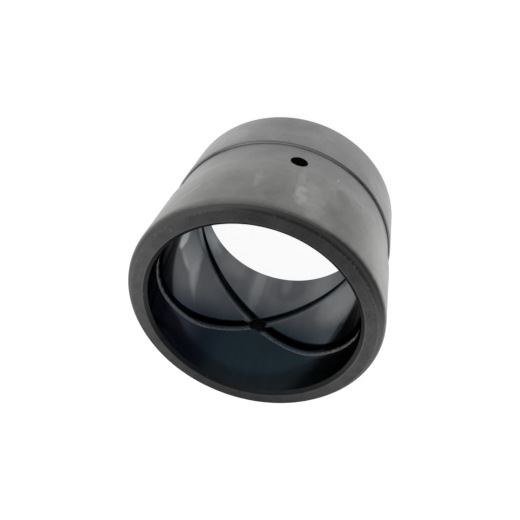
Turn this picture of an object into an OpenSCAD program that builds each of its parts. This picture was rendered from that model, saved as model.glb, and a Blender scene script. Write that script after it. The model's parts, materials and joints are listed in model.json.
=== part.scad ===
// Plain pin bushing for a heavy joint: one turned and hardened steel sleeve that stands on its lower end.
// The axis is +Z, the lower end face lies at z = 0 and the origin is the middle of that face.

/* [Sleeve] */
// Bore diameter, in which the pin turns
bore_d = 70; // [50:0.5:110]
// Wall between the bore and the outside that is pressed into the housing
wall = 7.5; // [6:0.25:15]
// Length from end face to end face
length = 67; // [62:0.5:100]
// Lead-in chamfer on the outside of both ends
outer_chamfer = 2.3; // [0.5:0.1:3.5]
// Chamfer at both mouths of the bore
bore_chamfer = 1.3; // [0.3:0.1:2]

/* [Outer channel] */
// Width of the grease channel round the outside
channel_width = 15; // [8:0.5:20]
// Depth of the channel below the outside
channel_depth = 0.8; // [0.6:0.1:2]
// Distance of the channel's middle from mid-length, minus is towards the lower end
channel_shift = -1.5; // [-5:0.25:5]
// Radius in the corners at the foot of the channel walls
channel_corner = 0.3; // [0.1:0.1:0.5]
// Edge break on the two lips of the channel
channel_lip = 0.2; // [0.1:0.1:0.3]

/* [Bore grooves] */
// Nose radius of the tool that leaves both crossed grease grooves
groove_nose_r = 5.2; // [3.5:0.1:8]
// Depth of the first groove below the bore
first_depth = 1; // [0.6:0.1:1.2]
// Depth of the second groove, which crosses the first
second_depth = 1.4; // [1.3:0.1:2]
// Swing of the grooves to either side of their crossings
groove_swing = 22.5; // [10:0.5:24]
// Distance of the crossings from mid-length, minus is towards the lower end
groove_shift = -0.5; // [-3:0.5:3]

/* [Oil holes] */
// Diameter of the two oil holes through the wall
oil_hole_d = 5.8; // [3:0.2:8]
// Turn of the first oil hole round the axis from the crossing that it feeds, in degrees
oil_hole_turn = -3.5; // [-6:0.1:6]
// Distance of the first oil hole from mid-length, minus is towards the lower end
oil_hole_shift = 1.2; // [-3:0.1:3]

/* [Hidden] */
$fn = 180;
bore_r = bore_d / 2;
outer_r = bore_r + wall;
mid_z = length / 2;
// Cutters run this far past the surfaces that they cut
overrun = 1;
channel_r = outer_r - channel_depth;
channel_foot_z = mid_z + channel_shift - channel_width / 2;
groove_z = mid_z + groove_shift;
// Rise of the groove path for each millimetre of sideways travel at the bore
groove_slope = groove_swing / bore_r;
steel = [0.46, 0.47, 0.47];

// Half section of the plain sleeve with the chamfers of both ends
module sleeve_section() {
    polygon([
        [bore_r + bore_chamfer, 0],
        [outer_r - outer_chamfer, 0],
        [outer_r, outer_chamfer],
        [outer_r, length - outer_chamfer],
        [outer_r - outer_chamfer, length],
        [bore_r + bore_chamfer, length],
        [bore_r, length - bore_chamfer],
        [bore_r, bore_chamfer]
    ]);
}

// Section of the outer channel: flat floor, round corners, broken lips
module channel_section() {
    reach = channel_depth + overrun;
    translate([channel_r, channel_foot_z]) {
        translate([channel_corner, 0])
            square([reach - channel_corner, channel_width]);
        translate([0, channel_corner])
            square([reach, channel_width - 2 * channel_corner]);
        for (foot = [channel_corner, channel_width - channel_corner])
            translate([channel_corner, foot])
                circle(r = channel_corner);
        polygon([
            [channel_depth - channel_lip, 0],
            [reach, -channel_lip - overrun],
            [reach, channel_width + channel_lip + overrun],
            [channel_depth - channel_lip, channel_width]
        ]);
    }
}

// Sweep of the round-nosed tool that travels to and fro along the axis once while the sleeve turns once
module groove_cut(way, depth) {
    translate([0, 0, groove_z])
        multmatrix([
            [1, 0, 0, 0],
            [0, 1, 0, 0],
            [0, way * groove_slope, 1, 0]
        ])
            rotate_extrude()
                translate([bore_r + depth - groove_nose_r, 0])
                    circle(r = groove_nose_r);
}

// Drill through one side of the wall, out from the bore
module oil_hole(turn, height) {
    rotate([0, 0, turn])
        translate([bore_r - overrun, 0, height])
            rotate([0, 90, 0])
                cylinder(d = oil_hole_d, h = wall + 2 * overrun);
}

module bushing() {
    color(steel)
        difference() {
            rotate_extrude()
                sleeve_section();
            rotate_extrude()
                channel_section();
            groove_cut(1, first_depth);
            groove_cut(-1, second_depth);
            oil_hole(oil_hole_turn, mid_z + oil_hole_shift);
            oil_hole(180, groove_z);
        }
}

bushing();
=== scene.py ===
import json
import math

import bpy
from mathutils import Matrix, Vector


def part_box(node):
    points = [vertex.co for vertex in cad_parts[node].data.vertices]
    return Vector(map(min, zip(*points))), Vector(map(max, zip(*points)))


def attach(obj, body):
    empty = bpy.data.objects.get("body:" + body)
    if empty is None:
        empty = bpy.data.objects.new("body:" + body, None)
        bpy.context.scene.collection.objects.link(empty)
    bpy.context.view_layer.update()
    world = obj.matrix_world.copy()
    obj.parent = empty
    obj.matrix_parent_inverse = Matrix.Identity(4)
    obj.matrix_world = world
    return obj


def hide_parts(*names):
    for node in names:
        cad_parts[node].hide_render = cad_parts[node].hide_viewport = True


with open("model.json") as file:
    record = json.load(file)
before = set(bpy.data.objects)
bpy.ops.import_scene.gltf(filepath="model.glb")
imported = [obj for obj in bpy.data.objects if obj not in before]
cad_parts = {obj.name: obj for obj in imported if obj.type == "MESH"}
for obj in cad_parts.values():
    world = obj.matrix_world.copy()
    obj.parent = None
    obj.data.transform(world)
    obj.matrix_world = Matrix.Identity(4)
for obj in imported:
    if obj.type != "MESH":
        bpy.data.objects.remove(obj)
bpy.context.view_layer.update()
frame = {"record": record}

# The sleeve. One bar of steel, turned, case hardened and oiled: a round wall with chamfered ends, a grease
# channel round the outside, two crossed grease grooves in the bore and two drilled oil holes.
# Its half section is spun round the axis, the grooves are swept by a round-nosed tool, then the holes are drilled.
MM = 0.001
mounts = {mount["name"]: mount for mount in frame["record"]["mounts"]}
low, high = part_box("bushing")
length = high[2] - low[2]
bore_r = mounts["pin_bore"]["dims"]["r_mm"] * MM
outer_r = mounts["housing_fit"]["dims"]["r_mm"] * MM
bore_chamfer = (length - mounts["pin_bore"]["dims"]["length_mm"] * MM) / 2
outer_chamfer = (length - mounts["housing_fit"]["dims"]["length_mm"] * MM) / 2
mid_z = length / 2

channel_width = 15.0 * MM
channel_depth = 0.8 * MM
channel_foot = mid_z - 1.5 * MM - channel_width / 2
channel_top = channel_foot + channel_width

groove_nose_r = 5.2 * MM
groove_depths = {"First Depth": 1.0 * MM, "Second Depth": 1.4 * MM}
groove_swing = 22.5 * MM
groove_z = mid_z - 0.5 * MM

dark_end = 0.8 * MM
oil_hole_r = 2.9 * MM
oil_holes = [(math.radians(-3.5), mid_z + 1.2 * MM), (math.pi, groove_z)]


def rounded_section(corners, steps=5):
    """Points of a closed section whose corners (radius from the axis, height, corner radius) are rounded."""
    points = []
    for i, (r, z, radius) in enumerate(corners):
        here = Vector((r, z))
        before = Vector(corners[i - 1][:2]) - here
        after = Vector(corners[(i + 1) % len(corners)][:2]) - here
        half = before.angle(after) / 2
        reach = radius / math.tan(half)
        centre = here + (before.normalized() + after.normalized()).normalized() * (radius / math.sin(half))
        start = here + before.normalized() * reach - centre
        end = here + after.normalized() * reach - centre
        sweep = start.angle_signed(end)
        for k in range(steps + 1):
            points.append(centre + Matrix.Rotation(-sweep * k / steps, 2) @ start)
    return points


sleeve_corners = [
    (bore_r, bore_chamfer, 0.3 * MM),
    (bore_r + bore_chamfer, 0, 0.25 * MM),
    (outer_r - outer_chamfer, 0, 0.4 * MM),
    (outer_r, outer_chamfer, 3.2 * MM),
    (outer_r, channel_foot, 0.2 * MM),
    (outer_r - channel_depth, channel_foot, 0.3 * MM),
    (outer_r - channel_depth, channel_top, 0.3 * MM),
    (outer_r, channel_top, 0.2 * MM),
    (outer_r, length - outer_chamfer, 3.2 * MM),
    (outer_r - outer_chamfer, length, 0.4 * MM),
    (bore_r + bore_chamfer, length, 0.25 * MM),
    (bore_r, length - bore_chamfer, 0.3 * MM),
]
section = rounded_section(sleeve_corners)
bore_top, bore_foot = section[-1].y, section[0].y
bore_rows = 96
rows = [(p.x, 0, p.y) for p in section]
rows += [(bore_r, 0, bore_top + (bore_foot - bore_top) * k / bore_rows) for k in range(1, bore_rows)]
section_mesh = bpy.data.meshes.new("sleeve")
section_mesh.from_pydata(rows, [(i, (i + 1) % len(rows)) for i in range(len(rows))], [])
bore_share = section_mesh.attributes.new("bore_share", "FLOAT", "POINT")
for i in range(len(rows)):
    bore_share.data[i].value = 1 - (i - len(section) + 1) / bore_rows if i >= len(section) else -1
sleeve = bpy.data.objects.new("sleeve", section_mesh)
bpy.context.scene.collection.objects.link(sleeve)


def calc(tree, operation, *values):
    """One Math node; each value is a socket or a number. Returns its result."""
    node = tree.nodes.new("ShaderNodeMath")
    node.operation = operation
    for socket, value in zip(node.inputs, values):
        if isinstance(value, (int, float)):
            socket.default_value = value
        else:
            tree.links.new(value, socket)
    return node.outputs[0]


def place(tree, kind, settings=None, **inputs):
    """One node of that kind, with its settings and its inputs by socket name (underscores for spaces)."""
    node = tree.nodes.new(kind)
    for name, value in (settings or {}).items():
        setattr(node, name, value)
    for name, value in inputs.items():
        socket = node.inputs[name.replace("_", " ")]
        if isinstance(value, bpy.types.NodeSocket):
            tree.links.new(value, socket)
        else:
            socket.default_value = value
    return node


turning = bpy.data.node_groups.new("turned_sleeve", "GeometryNodeTree")
turning.interface.new_socket("Section", in_out="INPUT", socket_type="NodeSocketGeometry")
turning_sizes = {
    "Bore Radius": bore_r, "Bore Foot": bore_foot, "Bore Top": bore_top,
    "Groove Height": groove_z, "Groove Swing": groove_swing, "Nose Radius": groove_nose_r, **groove_depths,
    "Lip": 0.25 * MM, "Worn Lip": 0.6 * MM, "Hole Radius": oil_hole_r,
}
for name in turning_sizes:
    turning.interface.new_socket(name, in_out="INPUT", socket_type="NodeSocketFloat")
for name in ("Outside Finish", "End Finish", "Bore Finish"):
    turning.interface.new_socket(name, in_out="INPUT", socket_type="NodeSocketMaterial")
turning.interface.new_socket("Sleeve", in_out="OUTPUT", socket_type="NodeSocketGeometry")
given = turning.nodes.new("NodeGroupInput").outputs
columns = 432

# spin the half section round the axis
stored = place(turning, "GeometryNodeStoreNamedAttribute", {"data_type": "FLOAT_VECTOR", "domain": "POINT"},
               Geometry=given["Section"], Name="section",
               Value=turning.nodes.new("GeometryNodeInputPosition").outputs[0])
profile = place(turning, "GeometryNodeMeshToCurve", Mesh=stored.outputs[0])
ring = place(turning, "GeometryNodeCurvePrimitiveCircle", Resolution=columns)
ring = place(turning, "GeometryNodeStoreNamedAttribute", {"data_type": "FLOAT", "domain": "POINT"},
             Geometry=ring.outputs[0], Name="turn",
             Value=calc(turning, "MULTIPLY", turning.nodes.new("GeometryNodeInputIndex").outputs[0],
                        2 * math.pi / columns))
spun = place(turning, "GeometryNodeCurveToMesh", Curve=ring.outputs[0], Profile_Curve=profile.outputs[0])
turn = place(turning, "GeometryNodeInputNamedAttribute", {"data_type": "FLOAT"}, Name="turn").outputs[0]
share = place(turning, "GeometryNodeInputNamedAttribute", {"data_type": "FLOAT"}, Name="bore_share").outputs[0]
point = place(turning, "GeometryNodeInputNamedAttribute", {"data_type": "FLOAT_VECTOR"}, Name="section")
point = place(turning, "ShaderNodeSeparateXYZ", Vector=point.outputs[0]).outputs
across, along = calc(turning, "COSINE", turn), calc(turning, "SINE", turn)

# rows of the bore run along both groove bands, so that the lips of the grooves are clean lines
half_widths = [math.sqrt(2 * groove_nose_r * d - d * d) + 0.9 * MM for d in groove_depths.values()]
side = place(turning, "ShaderNodeMapRange", {"interpolation_type": "SMOOTHSTEP"}, Value=along,
             From_Min=-0.14, From_Max=0.14, To_Min=0.0, To_Max=1.0).outputs[0]
upper_half = calc(turning, "ADD", half_widths[1], calc(turning, "MULTIPLY", side, half_widths[0] - half_widths[1]))
lower_half = calc(turning, "ADD", half_widths[0], calc(turning, "MULTIPLY", side, half_widths[1] - half_widths[0]))
swing = calc(turning, "MULTIPLY", given["Groove Swing"], calc(turning, "ABSOLUTE", along))
upper = calc(turning, "ADD", given["Groove Height"], swing)
lower = calc(turning, "SUBTRACT", given["Groove Height"], swing)
least_gap = 0.1 * MM
edges = [
    given["Bore Foot"],
    calc(turning, "SUBTRACT", lower, lower_half),
    calc(turning, "MINIMUM", calc(turning, "ADD", lower, lower_half),
         calc(turning, "SUBTRACT", given["Groove Height"], least_gap)),
    calc(turning, "MAXIMUM", calc(turning, "SUBTRACT", upper, upper_half),
         calc(turning, "ADD", given["Groove Height"], least_gap)),
    calc(turning, "ADD", upper, upper_half),
    given["Bore Top"],
]
shares = [0, 1 / 8, 3 / 8, 5 / 8, 7 / 8, 1]
height = given["Bore Foot"]
for k in range(5):
    stretch = place(turning, "ShaderNodeMapRange", Value=share, From_Min=shares[k], From_Max=shares[k + 1],
                    To_Min=0.0, To_Max=calc(turning, "SUBTRACT", edges[k + 1], edges[k])).outputs[0]
    height = calc(turning, "ADD", height, stretch)

# sweep the round-nosed tool to and fro once a turn, once each way
cuts = []
for way, depth in ((1, given["First Depth"]), (-1, given["Second Depth"])):
    path = calc(turning, "ADD", given["Groove Height"],
                calc(turning, "MULTIPLY", given["Groove Swing"], calc(turning, "MULTIPLY", along, way)))
    off = calc(turning, "SUBTRACT", height, path)
    nose = calc(turning, "SUBTRACT", calc(turning, "POWER", given["Nose Radius"], 2), calc(turning, "POWER", off, 2))
    nose = calc(turning, "SQRT", calc(turning, "MAXIMUM", nose, 0))
    cuts.append(calc(turning, "ADD", nose, calc(turning, "SUBTRACT", depth, given["Nose Radius"])))
rise = calc(turning, "SUBTRACT", height, given["Groove Height"])
above = calc(turning, "MULTIPLY", calc(turning, "SUBTRACT", calc(turning, "ABSOLUTE", rise), swing),
             calc(turning, "SIGN", rise))
lip = calc(turning, "ADD", given["Lip"], calc(turning, "MULTIPLY", calc(turning, "GREATER_THAN", above, 0),
                                              calc(turning, "SUBTRACT", given["Worn Lip"], given["Lip"])))
cut = calc(turning, "SMOOTH_MAX", cuts[0], cuts[1], given["Lip"])
cut = calc(turning, "SMOOTH_MAX", cut, 0, lip)
in_bore = calc(turning, "GREATER_THAN", share, -0.5)
grooved_r = calc(turning, "ADD", given["Bore Radius"], cut)
radius = calc(turning, "ADD", calc(turning, "MULTIPLY", in_bore, grooved_r),
              calc(turning, "MULTIPLY", calc(turning, "SUBTRACT", 1, in_bore), point["X"]))
level = calc(turning, "ADD", calc(turning, "MULTIPLY", in_bore, height),
             calc(turning, "MULTIPLY", calc(turning, "SUBTRACT", 1, in_bore), point["Z"]))
spot = place(turning, "ShaderNodeCombineXYZ", X=calc(turning, "MULTIPLY", radius, across),
             Y=calc(turning, "MULTIPLY", radius, along), Z=level).outputs[0]
turned = place(turning, "GeometryNodeSetPosition", Geometry=spun.outputs[0], Position=spot)

# drill the oil holes from the channel to the groove crossings
drills = turning.nodes.new("GeometryNodeJoinGeometry")
for angle, hole_z in oil_holes:
    drill = place(turning, "GeometryNodeMeshCylinder", Vertices=64, Radius=given["Hole Radius"], Depth=20 * MM)
    drill = place(turning, "GeometryNodeTransform", Geometry=drill.outputs[0], Rotation=(0, math.pi / 2, 0),
                  Translation=((bore_r + outer_r) / 2, 0, hole_z))
    drill = place(turning, "GeometryNodeTransform", Geometry=drill.outputs[0], Rotation=(0, 0, angle))
    turning.links.new(drill.outputs[0], drills.inputs[0])
drilled = place(turning, "GeometryNodeMeshBoolean", {"operation": "DIFFERENCE", "solver": "EXACT"})
turning.links.new(turned.outputs[0], drilled.inputs["Mesh 1"])
turning.links.new(drills.outputs[0], drilled.inputs["Mesh 2"])
bend = turning.nodes.new("GeometryNodeInputMeshEdgeAngle").outputs[0]
smooth = place(turning, "GeometryNodeSetShadeSmooth", {"domain": "FACE"}, Geometry=drilled.outputs[0],
               Shade_Smooth=True)
crisp = place(turning, "GeometryNodeSetShadeSmooth", {"domain": "EDGE"}, Geometry=smooth.outputs[0],
              Selection=calc(turning, "GREATER_THAN", bend, math.radians(35)), Shade_Smooth=False)
real = place(turning, "GeometryNodeRealizeInstances", Geometry=crisp.outputs[0])
centre = place(turning, "ShaderNodeSeparateXYZ",
               Vector=turning.nodes.new("GeometryNodeInputPosition").outputs[0]).outputs
centre_r = calc(turning, "SQRT", calc(turning, "ADD", calc(turning, "POWER", centre["X"], 2),
                                      calc(turning, "POWER", centre["Y"], 2)))
from_mid = calc(turning, "ABSOLUTE", calc(turning, "SUBTRACT", centre["Z"], mid_z))
in_mouth = calc(turning, "MULTIPLY", calc(turning, "GREATER_THAN", from_mid, mid_z - bore_chamfer),
                calc(turning, "LESS_THAN", centre_r, bore_r + bore_chamfer))
at_end = calc(turning, "MAXIMUM", in_mouth, calc(turning, "GREATER_THAN", from_mid, mid_z - dark_end))
inside = calc(turning, "MULTIPLY", calc(turning, "LESS_THAN", centre_r, outer_r - channel_depth - 0.02 * MM),
              calc(turning, "LESS_THAN", from_mid, mid_z - bore_chamfer))
outer_finish = place(turning, "GeometryNodeSetMaterial", Geometry=real.outputs[0], Material=given["Outside Finish"])
end_finish = place(turning, "GeometryNodeSetMaterial", Geometry=outer_finish.outputs[0], Selection=at_end,
                   Material=given["End Finish"])
finished = place(turning, "GeometryNodeSetMaterial", Geometry=end_finish.outputs[0],
                 Selection=inside, Material=given["Bore Finish"])
result = turning.nodes.new("NodeGroupOutput")
turning.links.new(finished.outputs[0], result.inputs["Sleeve"])


def effect_group(name, inputs, outputs):
    """A shader node group with number sockets; returns it, the sockets it is given and those it gives out."""
    group = bpy.data.node_groups.new(name, "ShaderNodeTree")
    for socket in inputs:
        group.interface.new_socket(socket, in_out="INPUT", socket_type="NodeSocketFloat")
    for socket in outputs:
        group.interface.new_socket(socket, in_out="OUTPUT", socket_type="NodeSocketFloat")
    return group, group.nodes.new("NodeGroupInput").outputs, group.nodes.new("NodeGroupOutput").inputs


def use(tree, group, **inputs):
    """One node of that group in the tree."""
    return place(tree, "ShaderNodeGroup", {"node_tree": group}, **inputs).outputs


def blend(tree, share, first, second):
    """A colour between two, each a colour or a socket."""
    node = tree.nodes.new("ShaderNodeMix")
    node.data_type = "RGBA"
    for socket, value in ((node.inputs[0], share), (node.inputs[6], first), (node.inputs[7], second)):
        if isinstance(value, bpy.types.NodeSocket):
            tree.links.new(value, socket)
        else:
            socket.default_value = value if isinstance(value, float) else (*value, 1)
    return node.outputs[2]


def step(tree, value, start, end):
    """0 before start, 1 after end, smooth between."""
    return place(tree, "ShaderNodeMapRange", {"interpolation_type": "SMOOTHSTEP"}, Value=value, From_Min=start,
                 From_Max=end, To_Min=0.0, To_Max=1.0).outputs[0]


def cloud(tree, size, detail=3.0, seed=0.0):
    """Soft blotches of that size in mm, about -0.5 to 0.5."""
    spot = tree.nodes.new("ShaderNodeTexCoord").outputs["Object"]
    noise = place(tree, "ShaderNodeTexNoise", {"noise_dimensions": "4D"}, Vector=spot, W=seed, Scale=1 / (size * MM),
                  Detail=detail)
    return calc(tree, "SUBTRACT", noise.outputs[0], 0.5)


def total(tree, first, *parts):
    """The first value plus each (value, weight) pair."""
    for value, weight in parts:
        first = calc(tree, "MULTIPLY_ADD", value, weight, first)
    return first


# where a point lies on the sleeve: its turn round the axis, and radius and height in mm
sleeve_place, _, gives = effect_group("sleeve_place", [], ["Turn", "Radius", "Height", "Across", "Along"])
spot = place(sleeve_place, "ShaderNodeSeparateXYZ",
             Vector=sleeve_place.nodes.new("ShaderNodeTexCoord").outputs["Object"]).outputs
x, y, z = (calc(sleeve_place, "DIVIDE", spot[name], MM) for name in "XYZ")
sleeve_place.links.new(calc(sleeve_place, "ARCTAN2", y, x), gives["Turn"])
sleeve_place.links.new(calc(sleeve_place, "SQRT", calc(sleeve_place, "ADD", calc(sleeve_place, "MULTIPLY", x, x),
                                                       calc(sleeve_place, "MULTIPLY", y, y))), gives["Radius"])
sleeve_place.links.new(z, gives["Height"])
sleeve_place.links.new(x, gives["Across"])
sleeve_place.links.new(y, gives["Along"])

# fine lines left by the tool, round the axis, as far apart as the feed
lathe_lines, given_here, gives = effect_group("lathe_lines", ["Feed", "Pitch"], ["Lines"])
turn_here = use(lathe_lines, sleeve_place)["Turn"]
line_spot = place(lathe_lines, "ShaderNodeCombineXYZ",
                  X=calc(lathe_lines, "DIVIDE", given_here["Feed"], given_here["Pitch"]),
                  Y=calc(lathe_lines, "MULTIPLY", calc(lathe_lines, "COSINE", turn_here), 0.8),
                  Z=calc(lathe_lines, "MULTIPLY", calc(lathe_lines, "SINE", turn_here), 0.8))
line_noise = place(lathe_lines, "ShaderNodeTexNoise", Vector=line_spot.outputs[0], Scale=1.0, Detail=3.0)
lathe_lines.links.new(calc(lathe_lines, "SUBTRACT", line_noise.outputs[0], 0.5), gives["Lines"])

# streaks of oil and handling that run along the axis
oil_streaks, given_here, gives = effect_group("oil_streaks", ["Width", "Length"], ["Streaks"])
here = use(oil_streaks, sleeve_place)
streak_spot = place(oil_streaks, "ShaderNodeCombineXYZ",
                    X=calc(oil_streaks, "DIVIDE", here["Across"], given_here["Width"]),
                    Y=calc(oil_streaks, "DIVIDE", here["Along"], given_here["Width"]),
                    Z=calc(oil_streaks, "DIVIDE", here["Height"], given_here["Length"]))
streak_noise = place(oil_streaks, "ShaderNodeTexNoise", Vector=streak_spot.outputs[0], Scale=1.0, Detail=3.0)
oil_streaks.links.new(calc(oil_streaks, "SUBTRACT", streak_noise.outputs[0], 0.5), gives["Streaks"])

# a rubbed or stained patch: its middle as turn in degrees and height in mm, and its half sizes in mm
rub_mark, given_here, gives = effect_group(
    "rub_mark", ["Turn", "Height", "Half Round", "Half Along", "Ragged", "Core", "Slant"], ["Mark"])
here = use(rub_mark, sleeve_place)
round_off = calc(rub_mark, "MULTIPLY", here["Radius"],
                 calc(rub_mark, "SUBTRACT", here["Turn"], calc(rub_mark, "RADIANS", given_here["Turn"])))
along_off = calc(rub_mark, "SUBTRACT", here["Height"], given_here["Height"])
round_off = calc(rub_mark, "SUBTRACT", round_off, calc(rub_mark, "MULTIPLY", along_off, given_here["Slant"]))
round_off = calc(rub_mark, "DIVIDE", round_off, given_here["Half Round"])
along_off = calc(rub_mark, "DIVIDE", along_off, given_here["Half Along"])
mark_off = calc(rub_mark, "ADD", calc(rub_mark, "MULTIPLY", round_off, round_off),
                calc(rub_mark, "MULTIPLY", along_off, along_off))
ragged = calc(rub_mark, "MULTIPLY_ADD", cloud(rub_mark, 3.0, 3.0, 5.0), given_here["Ragged"], mark_off)
rub_mark.links.new(calc(rub_mark, "SUBTRACT", 1.0, step(rub_mark, ragged, given_here["Core"], 1.0)), gives["Mark"])


def steel_finish(name):
    """A bare metal material; returns it, its tree and its shader."""
    material = bpy.data.materials.new(name)
    material.use_nodes = True
    skin = material.node_tree.nodes["Principled BSDF"]
    skin.inputs["Metallic"].default_value = 1.0
    return material, material.node_tree, skin


# the ground outside, mid grey and a little blotched, plainer in the channel
ground_steel, tree, skin = steel_finish("ground_steel")
here = use(tree, sleeve_place)
streaks = use(tree, oil_streaks, Width=3.5, Length=30.0)["Streaks"]
lines = use(tree, lathe_lines, Feed=here["Height"], Pitch=0.35)["Lines"]
scuffs = [(36.0, 17.0, 10.0, 9.0, 0.3), (5.0, 8.0, 12.0, 9.0, -0.22), (-46.0, 18.0, 8.0, 9.0, 0.2),
          (-56.0, 32.0, 4.0, 6.0, 0.25), (-22.6, 34.9, 0.4, 1.2, 0.8)]
# broad bands along the axis on the front land, lighter and darker: painted reflection and painted shade
land_light_and_shade = [(-54.0, 52.0, 11.0, 22.0, 0.55), (-31.0, 52.0, 10.0, 18.0, -0.32), (1.5, 52.0, 4.5, 15.0, -0.2),
               (21.0, 52.0, 8.0, 14.0, -0.1)]
land_scuffs = [(-26.0, 44.5, 3.0, 3.6, -0.45), (-7.0, 47.0, 1.5, 10.0, 0.25), (-8.5, 56.0, 2.4, 7.0, 0.35),
               (-13.5, 55.0, 5.0, 11.0, 0.3), (9.5, 52.0, 1.5, 6.0, 0.25), (39.5, 54.5, 1.9, 6.5, 0.32, 1.0)]


def marked(tree, marks, ragged, core=0.1):
    """Sum of marks, each its turn, height, half size round, half size along, share and slant if any."""
    mark_sum = 0.0
    for mark_turn, mark_height, half_round, half_along, mark_share, *slant in marks:
        mark = use(tree, rub_mark, Turn=mark_turn, Height=mark_height, Half_Round=half_round, Half_Along=half_along,
                   Ragged=ragged, Core=core, Slant=slant[0] if slant else 0.0)["Mark"]
        mark_sum = calc(tree, "MULTIPLY_ADD", mark, mark_share, mark_sum)
    return mark_sum


front_land = step(tree, here["Height"], channel_top / MM - 0.1, channel_top / MM + 0.1)
on_land = calc(tree, "ADD", marked(tree, land_scuffs, 2.4), marked(tree, land_light_and_shade, 0.8, -0.2))
scuffed = calc(tree, "MULTIPLY_ADD", on_land, front_land, marked(tree, scuffs, 0.8))
shade = total(tree, 0.45, (cloud(tree, 24.0, 2.0, 1.0), 0.6), (cloud(tree, 7.0, 5.0, 2.0), 0.6),
              (cloud(tree, 1.6, 3.0, 9.0), 0.3), (streaks, 0.2), (lines, 0.12), (scuffed, 1.0), (front_land, -0.07))
# on the lit side, round turn 5°, the border is narrower and the channel walls lighter: painted light
lit_side = step(tree, calc(tree, "COSINE", calc(tree, "SUBTRACT", here["Turn"], math.radians(5))), 0.78, 0.96)
edge = total(tree, calc(tree, "ABSOLUTE", calc(tree, "SUBTRACT", here["Height"], mid_z / MM)),
             (cloud(tree, 1.6, 3.0, 3.0), 1.2), (lit_side, -1.0))
edge = step(tree, edge, (mid_z - outer_chamfer) / MM - 0.65, (mid_z - outer_chamfer) / MM + 0.65)
colour = blend(tree, shade, (0.09, 0.091, 0.09), (0.275, 0.277, 0.276))
colour = blend(tree, front_land, colour, blend(tree, shade, (0.09, 0.092, 0.086), (0.275, 0.28, 0.262)))
# the dark border at the chamfers is the skin of the hardening, darker round turn -45°: painted shade
shaded_side = step(tree, calc(tree, "COSINE", calc(tree, "ADD", here["Turn"], math.radians(45))), 0.85, 0.97)
border = blend(tree, shaded_side, (0.115, 0.117, 0.115), (0.058, 0.059, 0.058))
colour = blend(tree, edge, colour, border)

# the walls of the channel: painted light on the lit side, and at the sides painted shade on their inner half,
# lighter on their outer half, with a line of painted shade at the lip and at the foot
up_wall = calc(tree, "SUBTRACT", here["Radius"], (outer_r - channel_depth) / MM)
from_wall = calc(tree, "MINIMUM", calc(tree, "ABSOLUTE", calc(tree, "SUBTRACT", here["Height"], channel_foot / MM)),
                 calc(tree, "ABSOLUTE", calc(tree, "SUBTRACT", here["Height"], channel_top / MM)))
at_wall = calc(tree, "SUBTRACT", 1.0, step(tree, from_wall, 0.1, 0.3))
on_wall = calc(tree, "MULTIPLY", at_wall, step(tree, up_wall, 0.04, 0.14))
side_wall = blend(tree, step(tree, up_wall, 0.35, 0.55), (0.1, 0.1, 0.1), (0.42, 0.42, 0.42))
colour = blend(tree, on_wall, colour, blend(tree, lit_side, side_wall, (0.5, 0.5, 0.5)))
at_lip = calc(tree, "MULTIPLY", at_wall, step(tree, up_wall, 0.64, 0.72))
at_foot = calc(tree, "MULTIPLY", at_wall, calc(tree, "SUBTRACT", 1.0, step(tree, up_wall, 0.06, 0.14)))
colour = blend(tree, calc(tree, "MAXIMUM", at_lip, at_foot), colour,
               blend(tree, lit_side, (0.04, 0.04, 0.04), (0.09, 0.09, 0.09)))
tree.links.new(colour, skin.inputs["Base Color"])
tree.links.new(total(tree, 0.55, (edge, -0.55)), skin.inputs["Coat Weight"])
skin.inputs["Coat Roughness"].default_value = 0.25
tree.links.new(total(tree, 0.42, (cloud(tree, 7.0, 3.0, 4.0), 0.16), (streaks, 0.1)), skin.inputs["Roughness"])
relief = place(tree, "ShaderNodeBump", Strength=0.25, Distance=0.01 * MM,
               Height=total(tree, 0.0, (lines, 1.0), (cloud(tree, 0.35, 2.0, 6.0), 0.8)))
tree.links.new(relief.outputs[0], skin.inputs["Normal"])

# the ends, left with the dark skin of the hardening, painted shade on the outer chamfer towards one side of the
# rim, a painted highlight along the crease, and light lines along the bore edge, both wear and painted highlight
hardened_steel, tree, skin = steel_finish("hardened_steel")
here = use(tree, sleeve_place)
lines = use(tree, lathe_lines, Feed=here["Radius"], Pitch=0.3)["Lines"]
blotch = cloud(tree, 4.0, 4.0, 1.0)
grit = cloud(tree, 0.5, 2.0, 2.0)
chamfer_edge = (outer_r - outer_chamfer) / MM
bore_edge = (bore_r + bore_chamfer) / MM
shade = total(tree, 0.5, (blotch, 0.9), (grit, 1.0), (lines, 0.4))
colour = blend(tree, shade, (0.03, 0.031, 0.03), (0.11, 0.111, 0.109))
on_chamfer = step(tree, here["Radius"], chamfer_edge - 0.3, chamfer_edge + 0.2)
# on one side of the rim, turns about -64° to 24°, the chamfer is painted in shade, darkest next to the crease
shaded_rim = step(tree, calc(tree, "COSINE", calc(tree, "ADD", here["Turn"], math.radians(20))), 0.72, 0.92)
crease_shade = blend(tree, step(tree, here["Radius"], chamfer_edge + 0.3, chamfer_edge + 0.9),
                (0.045, 0.046, 0.045), (0.088, 0.09, 0.088))
dark = blend(tree, shaded_rim, (0.1, 0.102, 0.099), crease_shade)
colour = blend(tree, on_chamfer, colour, dark)
in_bore_chamfer = calc(tree, "SUBTRACT", 1.0, step(tree, here["Radius"], bore_edge - 0.25, bore_edge))
# a ragged light line along the crease: painted highlight
crease = calc(tree, "ABSOLUTE", calc(tree, "SUBTRACT", here["Radius"], chamfer_edge))
crease = calc(tree, "MULTIPLY", calc(tree, "SUBTRACT", 1.0, step(tree, crease, 0.1, 0.7)),
              step(tree, cloud(tree, 0.8, 3.0, 7.0), 0.02, 0.2))
colour = blend(tree, crease, colour, (0.12, 0.12, 0.117))
colour = blend(tree, calc(tree, "MULTIPLY", in_bore_chamfer, 0.85), colour, (0.018, 0.019, 0.021))
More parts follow.
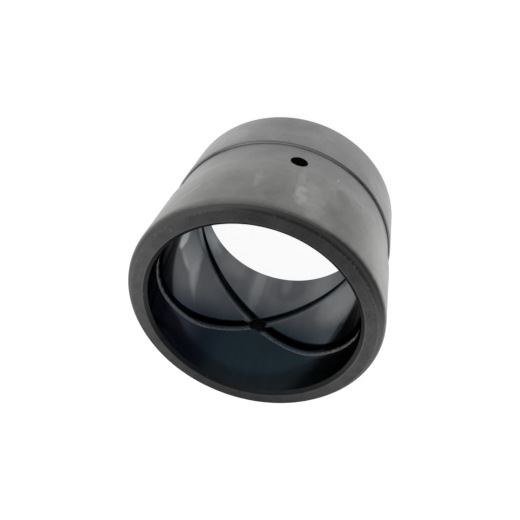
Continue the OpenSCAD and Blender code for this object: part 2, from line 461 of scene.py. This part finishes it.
# a light line along the bore edge: worn metal with a painted highlight
worn_and_lit_edge = calc(tree, "SUBTRACT", 1.0, step(
    tree, calc(tree, "ABSOLUTE", calc(tree, "SUBTRACT", here["Radius"], bore_edge + 0.15)), 0.05, 0.35))
worn_and_lit_edge = calc(tree, "MULTIPLY", worn_and_lit_edge, calc(tree, "MULTIPLY_ADD", blotch, 1.5, 0.6))
colour = blend(tree, worn_and_lit_edge, colour, (0.1, 0.1, 0.098))
specks = step(tree, cloud(tree, 0.45, 1.0, 11.0), 0.22, 0.3)
colour = blend(tree, calc(tree, "MULTIPLY", specks, 0.6), colour, (0.3, 0.3, 0.295))
tree.links.new(colour, skin.inputs["Base Color"])
tree.links.new(total(tree, 0.42, (blotch, 0.15), (grit, 0.1)), skin.inputs["Roughness"])
skin.inputs["Specular Tint"].default_value = (0.6, 0.6, 0.6, 1)
skin.inputs["Anisotropic"].default_value = 0.7
skin.inputs["Anisotropic Rotation"].default_value = 0.25
relief = place(tree, "ShaderNodeBump", Strength=0.3, Distance=0.015 * MM,
               Height=total(tree, 0.0, (lines, 0.6), (grit, 1.0)))
tree.links.new(relief.outputs[0], skin.inputs["Normal"])

# the bore, smooth and oily, painted in shade towards the mouth, lightened by wiped patches, scratches and painted
# reflections, with black grease and painted shade in the grooves and painted shade in the holes
oiled_steel, tree, skin = steel_finish("oiled_steel")
here = use(tree, sleeve_place)
streaks = use(tree, oil_streaks, Width=5.0, Length=60.0)["Streaks"]
lines = use(tree, lathe_lines, Feed=here["Height"], Pitch=0.3)["Lines"]
# lighter patches and scratches: partly wiped and scratched steel, partly painted reflections and highlights
wipes_and_reflections = [(172.0, 12.0, 3.4, 26.0, 0.2), (-168.0, 4.0, 3.0, 11.0, 0.1), (-116.0, 26.0, 18.0, 16.0, 0.34),
         (112.0, 4.0, 13.0, 7.0, 0.75), (142.0, 6.0, 14.0, 10.0, 0.15), (-137.0, 10.0, 11.0, 16.0, 0.15)]
scratches_and_glints = [(97.0, 29.0, 3.0, 7.0, 0.95), (110.0, 32.5, 6.0, 1.8, 0.25), (122.0, 27.0, 2.5, 8.0, 0.1)]
# a lighter wedge on the left side of the bore, between heights of about 12 and 30 mm: painted reflection
turned_by = calc(tree, "DEGREES", here["Turn"])
past_right = calc(tree, "SUBTRACT", turned_by,
                  total(tree, 114.8, (here["Height"], 0.45), (cloud(tree, 6.0, 2.0, 14.0), 5.0)))
below = calc(tree, "MAXIMUM", calc(tree, "SUBTRACT", turned_by, 118.0), 0.0)
below = calc(tree, "SUBTRACT", here["Height"], total(tree, 34.0, (below, 0.5), (cloud(tree, 6.0, 2.0, 15.0), 4.0)))
lit_wedge = calc(tree, "MULTIPLY", calc(tree, "SUBTRACT", 1.0, step(tree, past_right, -4.5, 1.5)),
             calc(tree, "SUBTRACT", 1.0, step(tree, below, -3.5, 2.0)))
lit_wedge = calc(tree, "MULTIPLY", lit_wedge, calc(tree, "MULTIPLY", step(tree, here["Height"], 12.0, 20.0),
                                           calc(tree, "GREATER_THAN", here["Along"], 0.0)))
# a darker patch on the far side, low in the bore
darker_patch = marked(tree, [(-166.0, 8.0, 10.0, 11.0, 0.5)], 0.4)
shade = total(tree, 0.45, (streaks, 1.0), (cloud(tree, 12.0, 2.0, 1.0), 0.6), (lines, 0.15), (darker_patch, -1.0))
colour = blend(tree, shade, (0.085, 0.088, 0.094), (0.15, 0.152, 0.158))
# towards the mouth the bore is painted in shade: lighter blue on the lower side, darker to the left, near black-blue
# elsewhere
lower_side = step(tree, here["Across"], -12.0, -30.0)
left_side = calc(tree, "MULTIPLY", step(tree, here["Along"], 5.0, 22.0), calc(tree, "SUBTRACT", 1.0, lower_side))
right_side = calc(tree, "MULTIPLY", step(tree, here["Along"], -5.0, -22.0), calc(tree, "SUBTRACT", 1.0, lower_side))
near_mouth = step(tree, total(tree, here["Height"], (lower_side, -6.0), (left_side, -14.0), (right_side, -4.0)),
                  24.0, 40.0)
shaded = blend(tree, shade, (0.05, 0.075, 0.092), (0.094, 0.125, 0.148))
lower_left = step(tree, here["Along"], 6.0, 22.0)
shaded = blend(tree, lower_left, shaded, (0.022, 0.03, 0.05))
shaded = blend(tree, lower_side, (0.03, 0.034, 0.052), shaded)
colour = blend(tree, near_mouth, colour, shaded)
# a dark corner of painted shade on the right side, towards the mouth
corner_edge = total(tree, 37.6, (calc(tree, "MAXIMUM", calc(tree, "SUBTRACT", -116.5, turned_by), 0.0), 0.85))
softer = step(tree, here["Height"], 47.0, 56.0)
corner = step(tree, calc(tree, "SUBTRACT", here["Height"], corner_edge), total(tree, -1.0, (softer, -7.0)),
              total(tree, 1.4, (softer, 7.0)))
corner = calc(tree, "MULTIPLY", corner, calc(tree, "LESS_THAN", here["Along"], 0.0))
colour = blend(tree, corner, colour, (0.014, 0.015, 0.016))
# lightened where wiped or scratched and where reflections are painted
wiped_and_lit = total(tree, marked(tree, wipes_and_reflections, 0.5, 0.0), (marked(tree, scratches_and_glints, 0.8), 1.0), (lit_wedge, 0.42))
colour = blend(tree, wiped_and_lit, colour, (0.42, 0.422, 0.42))
# near-white painted highlights and reflections
bright_reflections = [(97.0, 28.0, 3.5, 8.0, 0.9), (113.0, 4.0, 16.0, 12.0, 0.4)]
colour = blend(tree, marked(tree, bright_reflections, 0.5), colour, (0.66, 0.655, 0.64))

# black grease on the lower half of each groove, with painted shade, and a light lip above it on the front arms, a
# painted highlight; both lie a little lower than the cut towards the sides, as in the photograph
in_groove = step(tree, here["Radius"], bore_r / MM + 0.08, bore_r / MM + 0.3)
rise = calc(tree, "SUBTRACT", here["Height"], groove_z / MM)
swung = calc(tree, "MULTIPLY", calc(tree, "ABSOLUTE", calc(tree, "DIVIDE", here["Along"], here["Radius"])),
             groove_swing / MM)
above = calc(tree, "SUBTRACT", calc(tree, "ABSOLUTE", rise), swung)
above = calc(tree, "MULTIPLY", above, calc(tree, "SIGN", rise))
on_front = step(tree, rise, -1.0, 3.0)
outer_run = calc(tree, "MULTIPLY", on_front, step(tree, calc(tree, "ABSOLUTE", here["Along"]), 18.0, 33.0))
above = total(tree, above, (outer_run, 2.6))
# the black band is grease and painted shade, faint on the rear arms
grease_and_shade = calc(tree, "MULTIPLY", in_groove, calc(tree, "SUBTRACT", 1.0, step(tree, above, -1.0, 0.3)))
grease_and_shade = calc(tree, "MULTIPLY", grease_and_shade, total(tree, 0.1, (step(tree, rise, -3.0, 5.0), 0.9)))
colour = blend(tree, grease_and_shade, colour, (0.01, 0.01, 0.012))
deep = calc(tree, "SUBTRACT", here["Radius"], bore_r / MM)
lip_start = total(tree, above, (cloud(tree, 1.2, 3.0, 13.0), 1.6))
upper_lip = calc(tree, "MULTIPLY", step(tree, lip_start, 0.6, 2.0),
                 calc(tree, "SUBTRACT", 1.0, step(tree, above, 2.1, 2.8)))
upper_lip = calc(tree, "MULTIPLY", upper_lip, on_front)
patchy = total(tree, 1.0, (calc(tree, "MULTIPLY", on_front,
                                total(tree, -0.25, (cloud(tree, 0.9, 3.0, 12.0), 1.0))), 1.0))
# the light line along the lip is a painted highlight
lip_highlight = calc(tree, "MULTIPLY", upper_lip, patchy)
lip_highlight_colour = blend(tree, outer_run, (0.55, 0.555, 0.56), (0.54, 0.56, 0.59))
colour = blend(tree, lip_highlight, colour, lip_highlight_colour)
# round the far oil hole the groove is painted black, and so are the walls of the holes: painted shade
from_hole = calc(tree, "SUBTRACT", here["Height"], groove_z / MM)
from_hole = calc(tree, "SQRT", calc(tree, "ADD", calc(tree, "MULTIPLY", from_hole, from_hole),
                                    calc(tree, "MULTIPLY", here["Along"], here["Along"])))
from_hole = total(tree, from_hole, (cloud(tree, 2.0, 2.0, 9.0), 3.0))
hole_shade = calc(tree, "MULTIPLY", calc(tree, "SUBTRACT", 1.0, step(tree, from_hole, 2.8, 4.4)), in_groove)
hole_shade = calc(tree, "MULTIPLY", hole_shade, calc(tree, "LESS_THAN", here["Across"], 0.0))
in_hole = calc(tree, "MAXIMUM", hole_shade, step(tree, here["Radius"], bore_r / MM + 1.45, bore_r / MM + 1.7))
colour = blend(tree, in_hole, colour, (0.01, 0.01, 0.01))
bare = calc(tree, "MULTIPLY", near_mouth, calc(tree, "MULTIPLY", lower_side, total(tree, 1.0, (lower_left, -0.1))))
bare = calc(tree, "MULTIPLY", bare, calc(tree, "SUBTRACT", 1.0,
                                         calc(tree, "MAXIMUM", upper_lip, calc(tree, "MAXIMUM", grease_and_shade, in_hole))))
tree.links.new(total(tree, 1.0, (bare, -0.45), (lip_highlight, -0.95)), skin.inputs["Metallic"])
tree.links.new(colour, skin.inputs["Base Color"])
rough = total(tree, 0.11, (streaks, 0.05), (cloud(tree, 5.0, 3.0, 2.0), 0.03), (in_groove, 0.08),
              (lip_highlight, 0.5), (in_hole, 0.6))
tree.links.new(rough, skin.inputs["Roughness"])
skin.inputs["Specular Tint"].default_value = (0.5, 0.5, 0.5, 1)

# the upper flank of each groove runs out softly into the bore, so it takes the light as the bore does
run_out = calc(tree, "MULTIPLY", step(tree, above, 0.2, 1.2),
               calc(tree, "SUBTRACT", 1.0, step(tree, deep, 1.42, 1.5)))
inward = place(tree, "ShaderNodeCombineXYZ", X=calc(tree, "MULTIPLY", here["Across"], -1.0),
               Y=calc(tree, "MULTIPLY", here["Along"], -1.0), Z=0.0).outputs[0]
inward = place(tree, "ShaderNodeVectorTransform", {"vector_type": "NORMAL"}, Vector=inward).outputs[0]
flank = blend(tree, run_out, tree.nodes.new("ShaderNodeNewGeometry").outputs["Normal"],
              place(tree, "ShaderNodeVectorMath", {"operation": "NORMALIZE"}, Vector=inward).outputs[0])
flank = place(tree, "ShaderNodeVectorMath", {"operation": "NORMALIZE"}, Vector=flank).outputs[0]
relief = place(tree, "ShaderNodeBump", Strength=0.06, Distance=0.005 * MM, Height=lines, Normal=flank)
tree.links.new(relief.outputs[0], skin.inputs["Normal"])

lathe = sleeve.modifiers.new("lathe", "NODES")
lathe.node_group = turning
sockets = {item.name: item.identifier for item in turning.interface.items_tree if item.item_type == "SOCKET"}
for name, value in turning_sizes.items():
    lathe[sockets[name]] = value
lathe[sockets["Outside Finish"]] = ground_steel
lathe[sockets["End Finish"]] = hardened_steel
lathe[sockets["Bore Finish"]] = oiled_steel
depsgraph = bpy.context.evaluated_depsgraph_get()
turned_mesh = bpy.data.meshes.new_from_object(sleeve.evaluated_get(depsgraph))
sleeve.modifiers.remove(lathe)
sleeve.data = turned_mesh
print("sleeve triangles", sum(len(p.vertices) - 2 for p in turned_mesh.polygons))

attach(sleeve, "root")
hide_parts("bushing")

# The studio. A plain white floor that the sleeve stands on, and a sky with three soft lights round it. The floor
# shows white where the camera sees it or the steel mirrors it, but under the bore it glows with a painted shade,
# dark blue on the camera's side and white on the far side, which the bore mirrors.
hole_side = math.radians(18.2)
up_side = Vector((math.cos(hole_side), math.sin(hole_side), 0))
floor_mesh = bpy.data.meshes.new("floor")
floor_half = 3.0
floor_mesh.from_pydata([(-floor_half, -floor_half, 0), (floor_half, -floor_half, 0),
                        (floor_half, floor_half, 0), (-floor_half, floor_half, 0)], [], [(0, 1, 2, 3)])
floor = bpy.data.objects.new("floor", floor_mesh)
bpy.context.scene.collection.objects.link(floor)
white = bpy.data.materials.new("white_floor")
white.use_nodes = True
tree = white.node_tree
tree.nodes.clear()
paint = place(tree, "ShaderNodeBsdfDiffuse", Color=(0.85, 0.85, 0.85, 1))
spot = tree.nodes.new("ShaderNodeTexCoord").outputs["Object"]
from_axis = place(tree, "ShaderNodeVectorMath", {"operation": "LENGTH"}, Vector=spot).outputs["Value"]
towards_hole = place(tree, "ShaderNodeVectorMath", {"operation": "DOT_PRODUCT"})
tree.links.new(spot, towards_hole.inputs[0])
towards_hole.inputs[1].default_value = up_side
# under the bore the glow for mirrored rays is a painted shade, dark blue on the camera's side and white on the far
# side
lit = step(tree, towards_hole.outputs["Value"], 0.15 * bore_r, -0.95 * bore_r)
shade_under_bore = blend(tree, lit, (0.1, 0.17, 0.22), (1.0, 1.0, 1.0))
rays = tree.nodes.new("ShaderNodeLightPath").outputs
in_shade = calc(tree, "MULTIPLY", rays["Is Glossy Ray"], calc(tree, "LESS_THAN", from_axis, bore_r + bore_chamfer))
glow = place(tree, "ShaderNodeEmission", Color=blend(tree, in_shade, (1.0, 1.0, 1.0), shade_under_bore), Strength=1.17)
seen = calc(tree, "MAXIMUM", rays["Is Camera Ray"], rays["Is Transmission Ray"])
seen = calc(tree, "MAXIMUM", seen, rays["Is Glossy Ray"])
mix = place(tree, "ShaderNodeMixShader", Fac=calc(tree, "MULTIPLY", seen, 0.8))
tree.links.new(paint.outputs[0], mix.inputs[1])
tree.links.new(glow.outputs[0], mix.inputs[2])
out = tree.nodes.new("ShaderNodeOutputMaterial")
tree.links.new(mix.outputs[0], out.inputs["Surface"])
floor_mesh.materials.append(white)

world = bpy.data.worlds.new("studio")
world.use_nodes = True
tree = world.node_tree
way = tree.nodes.new("ShaderNodeTexCoord").outputs["Generated"]
light = (0.36, 0.36, 0.365)
soft_lights = [(Vector((-0.65, 0.6, 0.47)), 0.8, 2.1), (Vector((-0.7, -0.55, 0.46)), 0.8, 1.7),
               (Vector((0.45, 0.8, 0.35)), 0.3, 0.8)]
for side, edge, strength in soft_lights:
    facing = place(tree, "ShaderNodeVectorMath", {"operation": "DOT_PRODUCT"})
    tree.links.new(way, facing.inputs[0])
    facing.inputs[1].default_value = side.normalized()
    light = blend(tree, step(tree, facing.outputs["Value"], edge, 0.98), light, (strength, strength, strength))
seen = tree.nodes.new("ShaderNodeLightPath").outputs["Is Camera Ray"]
tree.links.new(blend(tree, seen, light, (1.0, 1.0, 1.0)), tree.nodes["Background"].inputs["Color"])
bpy.context.scene.world = world
bpy.context.scene.view_settings.view_transform = "Standard"

# The camera stands above the upper end face, on the side of the first oil hole, and is rolled so that the upper
# end points down the picture. Station and aim come from the ellipses of both rims in the photograph.
picture = 520
focal_px = 522.35
camera_right = Vector((0.15097, -0.96323, -0.22214))
camera_up = Vector((0.77315, 0.25513, -0.58072))
camera_back = camera_right.cross(camera_up)
station = Vector((117.95, -12.39, 185.86)) * MM
lens = bpy.data.cameras.new("camera")
lens.sensor_width = 36
lens.lens = focal_px / picture * lens.sensor_width
lens.clip_start = 0.01
camera = bpy.data.objects.new("camera", lens)
camera.matrix_world = Matrix.Translation(station) @ Matrix(
    (camera_right, camera_up, camera_back)).transposed().to_4x4()
bpy.context.scene.collection.objects.link(camera)
bpy.context.scene.camera = camera
